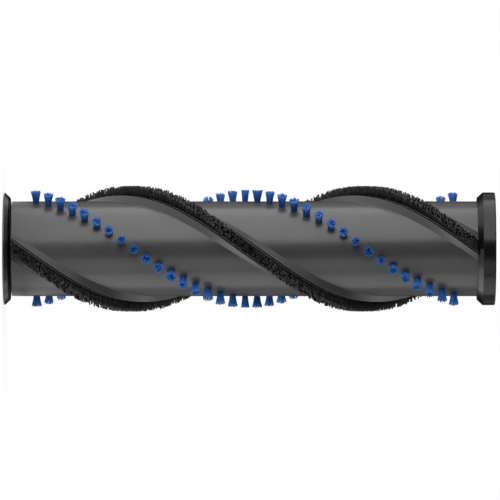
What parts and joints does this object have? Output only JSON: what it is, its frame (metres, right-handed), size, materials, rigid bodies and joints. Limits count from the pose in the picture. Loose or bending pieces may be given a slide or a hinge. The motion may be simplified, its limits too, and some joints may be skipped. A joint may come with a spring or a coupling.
{
  "type": "vacuum roller brush",
  "caption": "Vacuum cleaner roller brush: grey core with helical black pile strips and helical rows of blue tufts, spinning on a bearing end cap and driven through a keyed collar.",
  "frame": {"origin": "on the roller's axis at the end cap's outer face, on which the brush stands", "axes": "+Z along the roller's axis from the end cap to the drive flange; one strip faces -Y half way along"},
  "size_m": [0.059, 0.059, 0.23],
  "materials": {
    "core_plastic": "satin moulded grey plastic",
    "backing_plastic": "flat black extruded band",
    "pile_fibre": "dense black nylon pile",
    "tuft_nylon": "glossy blue nylon filament",
    "staple_steel": "bright wire",
    "plug_plastic": "black moulded plastic",
    "bearing_steel": "ground bearing steel",
    "shield_steel": "pressed sheet steel",
    "spring_steel": "blackened spring steel",
    "felt": "pressed wool felt",
    "flange_plastic": "glossy black moulded plastic",
    "screw_steel": "zinc plated steel",
    "ball_steel": "polished steel",
    "cage_plastic": "natural nylon"
  },
  "bodies": {
    "end_mount": {"end_cap": "flange_plastic", "stub_axle": "bearing_steel", "hub_shim": "shield_steel", "axle_snap_ring": "spring_steel", "bearing_inner_ring": "bearing_steel"},
    "roller": {"roller_core": "core_plastic", "strip_backing_1": "backing_plastic", "strip_backing_2": "backing_plastic", "strip_pile_1": "pile_fibre", "strip_pile_2": "pile_fibre", "tuft_row_1": "tuft_nylon", "tuft_row_2": "tuft_nylon", "tuft_staples_1": "staple_steel", "tuft_staples_2": "staple_steel", "bearing_plug": "plug_plastic", "bearing_outer_ring": "bearing_steel", "bearing_shield_front": "shield_steel", "bearing_shield_back": "shield_steel", "bearing_circlip": "spring_steel", "felt_washer": "felt", "drive_flange": "flange_plastic", "flange_screws": "screw_steel"},
    "ball_cage": {"bearing_balls": "ball_steel", "bearing_cage": "cage_plastic"}
  },
  "joints": [
    {"name": "roller_spin", "type": "hinge", "parent": "end_mount", "child": "roller", "pos_m": [0, 0, 0.018], "axis": [0, 0, 1], "continuous": true},
    {"name": "cage_spin", "type": "hinge", "parent": "end_mount", "child": "ball_cage", "pos_m": [0, 0, 0.018], "axis": [0, 0, 1], "continuous": true}
  ],
  "couplings": [
    {"joint": "cage_spin", "follows": "roller_spin", "ratio": 0.64}
  ]
}
